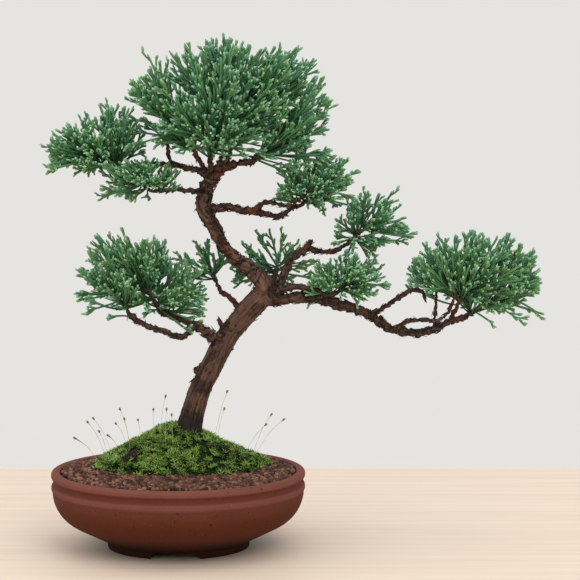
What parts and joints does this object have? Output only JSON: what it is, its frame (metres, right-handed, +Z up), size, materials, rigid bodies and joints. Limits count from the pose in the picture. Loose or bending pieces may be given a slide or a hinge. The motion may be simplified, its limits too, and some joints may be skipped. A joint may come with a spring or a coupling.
{
  "type": "potted juniper bonsai",
  "caption": "Leaning juniper bonsai with wired branches and cloud-like foliage pads over a moss mound, in a round unglazed clay bowl on a cut-out foot ring.",
  "frame": {"origin": "middle of the whole object's box in plan, on the surface the foot ring stands on", "axes": "+Z up, -Y is the tree's front, +X the side the long branch reaches to; the pot's axis is at x = -0.091"},
  "size_m": [0.3928, 0.2, 0.4033],
  "materials": {
    "pot_clay": "matte",
    "soil": "matte",
    "moss": "matte",
    "stalk": "matte",
    "bark": "matte",
    "wire": "satin",
    "leaf": "matte",
    "mesh_plastic": "matte"
  },
  "bodies": {
    "root": {"anchor_wire": "wire", "drainage_mesh": "mesh_plastic", "foliage_back_left": "leaf", "foliage_back_right": "leaf", "foliage_branch_end": "leaf", "foliage_crown": "leaf", "foliage_inner_right": "leaf", "foliage_left_end": "leaf", "foliage_left_low": "leaf", "foliage_lower_left": "leaf", "foliage_middle_right": "leaf", "foliage_upper_right": "leaf", "moss_mound": "moss", "moss_stalk_01": "stalk", "moss_stalk_02": "stalk", "moss_stalk_03": "stalk", "moss_stalk_04": "stalk", "moss_stalk_05": "stalk", "moss_stalk_06": "stalk", "moss_stalk_07": "stalk", "moss_stalk_08": "stalk", "moss_stalk_09": "stalk", "moss_stalk_10": "stalk", "moss_stalk_11": "stalk", "moss_stalk_12": "stalk", "moss_stalk_13": "stalk", "moss_stalk_14": "stalk", "moss_stalk_15": "stalk", "moss_stalk_16": "stalk", "moss_stalk_17": "stalk", "moss_stalk_18": "stalk", "pot": "pot_clay", "soil_bed": "soil", "trunk_and_branches": "bark", "wire_long_branch": "wire", "wire_upper_right": "wire"}
  },
  "joints": []
}
